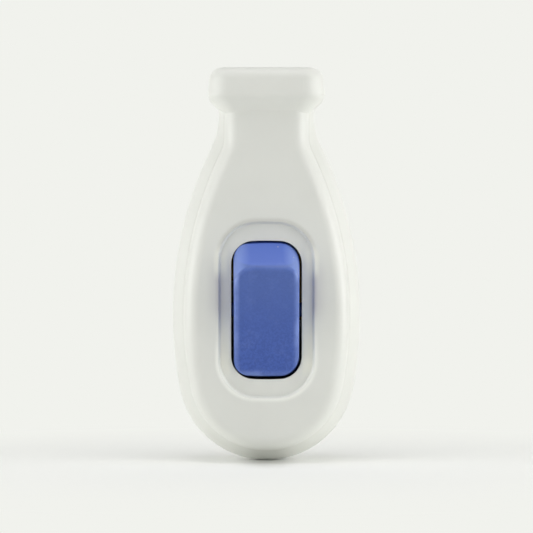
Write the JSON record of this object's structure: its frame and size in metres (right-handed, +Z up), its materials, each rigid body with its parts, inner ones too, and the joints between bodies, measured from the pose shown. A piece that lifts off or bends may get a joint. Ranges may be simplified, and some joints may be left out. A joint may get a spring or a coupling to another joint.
{
  "type": "pendant cord switch",
  "caption": "White pear-shaped cord-end switch: two screwed shells with a collared cord entry, and a blue rocker in a shallow recess that tilts a contact lever.",
  "frame": {"origin": "middle of the cord entry's mouth, on top of the collar", "axes": "+Z up the body and out of the cord entry, -Y out of the front face, +X to the right seen from the front"},
  "size_m": [0.0334, 0.025, 0.0694],
  "materials": {
    "white_moulding": "fine satin moulding",
    "blue_moulding": "fine matt grain",
    "nylon": "plain moulded",
    "spring_steel": "drawn wire",
    "brass_strip": "stamped strip",
    "contact_silver": "silver alloy",
    "screw_steel": "zinc plated"
  },
  "bodies": {
    "housing": {"front_shell": "white_moulding", "rear_shell": "white_moulding", "common_terminal": "brass_strip", "fixed_terminal": "brass_strip", "fixed_contact": "contact_silver", "line_wire_clamp": "brass_strip", "load_wire_clamp": "brass_strip", "terminal_screws": "screw_steel", "cord_grip": "nylon", "cord_grip_screws": "screw_steel", "housing_screws": "screw_steel"},
    "rocker": {"rocker": "blue_moulding", "plunger_spring": "spring_steel"},
    "plunger": {"plunger": "nylon"},
    "lever": {"contact_lever": "brass_strip", "lever_contact": "contact_silver"}
  },
  "joints": [
    {"name": "rocker_tilt", "type": "hinge", "parent": "housing", "child": "rocker", "pos_m": [0, -0.0013, -0.04246], "axis": [-1, 0, 0], "range_deg": [0, 32]},
    {"name": "plunger_slide", "type": "slide", "parent": "rocker", "child": "plunger", "axis": [0, -0.9613, -0.2756], "range_m": [0, 0.0012], "stiffness_N_per_m": 300, "springref_m": -0.002, "deforming": ["plunger_spring"]},
    {"name": "lever_tilt", "type": "hinge", "parent": "housing", "child": "lever", "pos_m": [0, 0.0065, -0.04246], "axis": [1, 0, 0], "range_deg": [0, 16]}
  ],
  "couplings": [
    {"joint": "lever_tilt", "follows": "rocker_tilt", "ratio": 0.5}
  ]
}
